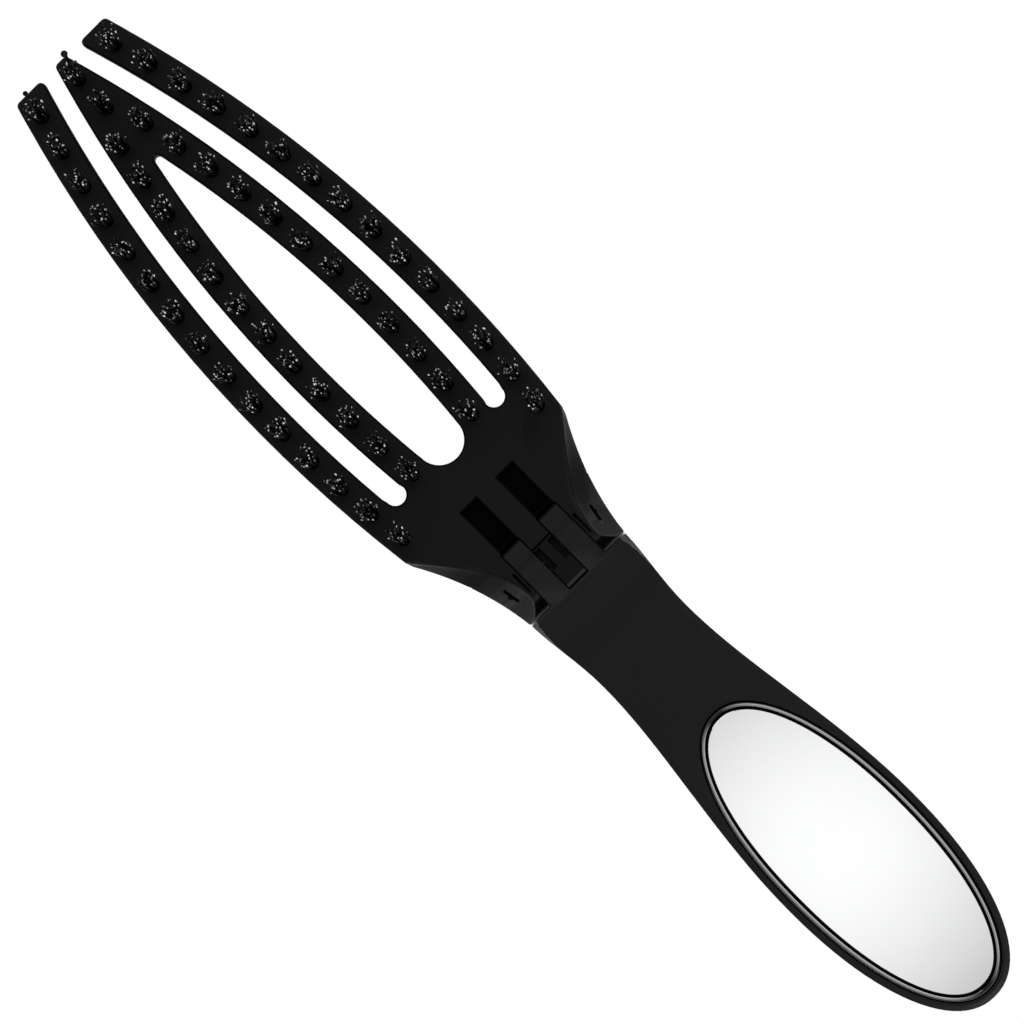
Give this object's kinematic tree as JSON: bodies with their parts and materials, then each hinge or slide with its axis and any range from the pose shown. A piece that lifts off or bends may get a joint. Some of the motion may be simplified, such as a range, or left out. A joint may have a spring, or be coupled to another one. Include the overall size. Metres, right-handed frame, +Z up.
{
  "type": "folding hair brush",
  "caption": "Folding vented hair brush: three-fingered head with bristle tufts, interleaved hinge and a handle with an oval mirror.",
  "frame": {"origin": "bottom centre of the whole brush, opened out flat and lying on its back", "axes": "+Y along the brush towards the tip of the bristle head, +X to the right seen from the bristle side, +Z up out of the bristle and mirror side"},
  "size_m": [0.0392, 0.2118, 0.0222],
  "materials": {
    "black_plastic": "fine matte grain",
    "tab_plastic": "matte",
    "gloss_black": "polished",
    "bristle": "dark natural bristle with nylon pins",
    "spring_steel": "blued spring steel",
    "pin_steel": "blackened steel",
    "bush_plastic": "moulded friction bush",
    "foam_tape": "adhesive foam",
    "silvered_glass": "polished flat mirror with a ground edge"
  },
  "bodies": {
    "handle": {"handle_front_shell": "black_plastic", "handle_back_shell": "black_plastic", "left_hinge_bush": "bush_plastic", "right_hinge_bush": "bush_plastic", "mirror_adhesive_pad": "foam_tape", "mirror_glass": "silvered_glass", "mirror_bezel": "gloss_black"},
    "head": {"head_frame": "black_plastic", "left_finger_bristles": "bristle", "right_finger_bristles": "bristle", "centre_left_bristles": "bristle", "centre_right_bristles": "bristle", "neck_back_cover": "black_plastic", "left_detent_spring": "spring_steel", "right_detent_spring": "spring_steel", "hinge_pin": "pin_steel"},
    "tab": {"release_tab": "tab_plastic"}
  },
  "joints": [
    {"name": "head_fold", "type": "hinge", "parent": "handle", "child": "head", "pos_m": [0, -0.00605, 0.0054], "axis": [-1, 0, 0], "range_deg": [0, 180]},
    {"name": "tab_press", "type": "hinge", "parent": "head", "child": "tab", "pos_m": [0, -0.00385, 0.0095], "axis": [1, 0, 0], "range_deg": [0, 8], "stiffness_Nm_per_rad": 0.16, "springref_deg": -2.86}
  ]
}
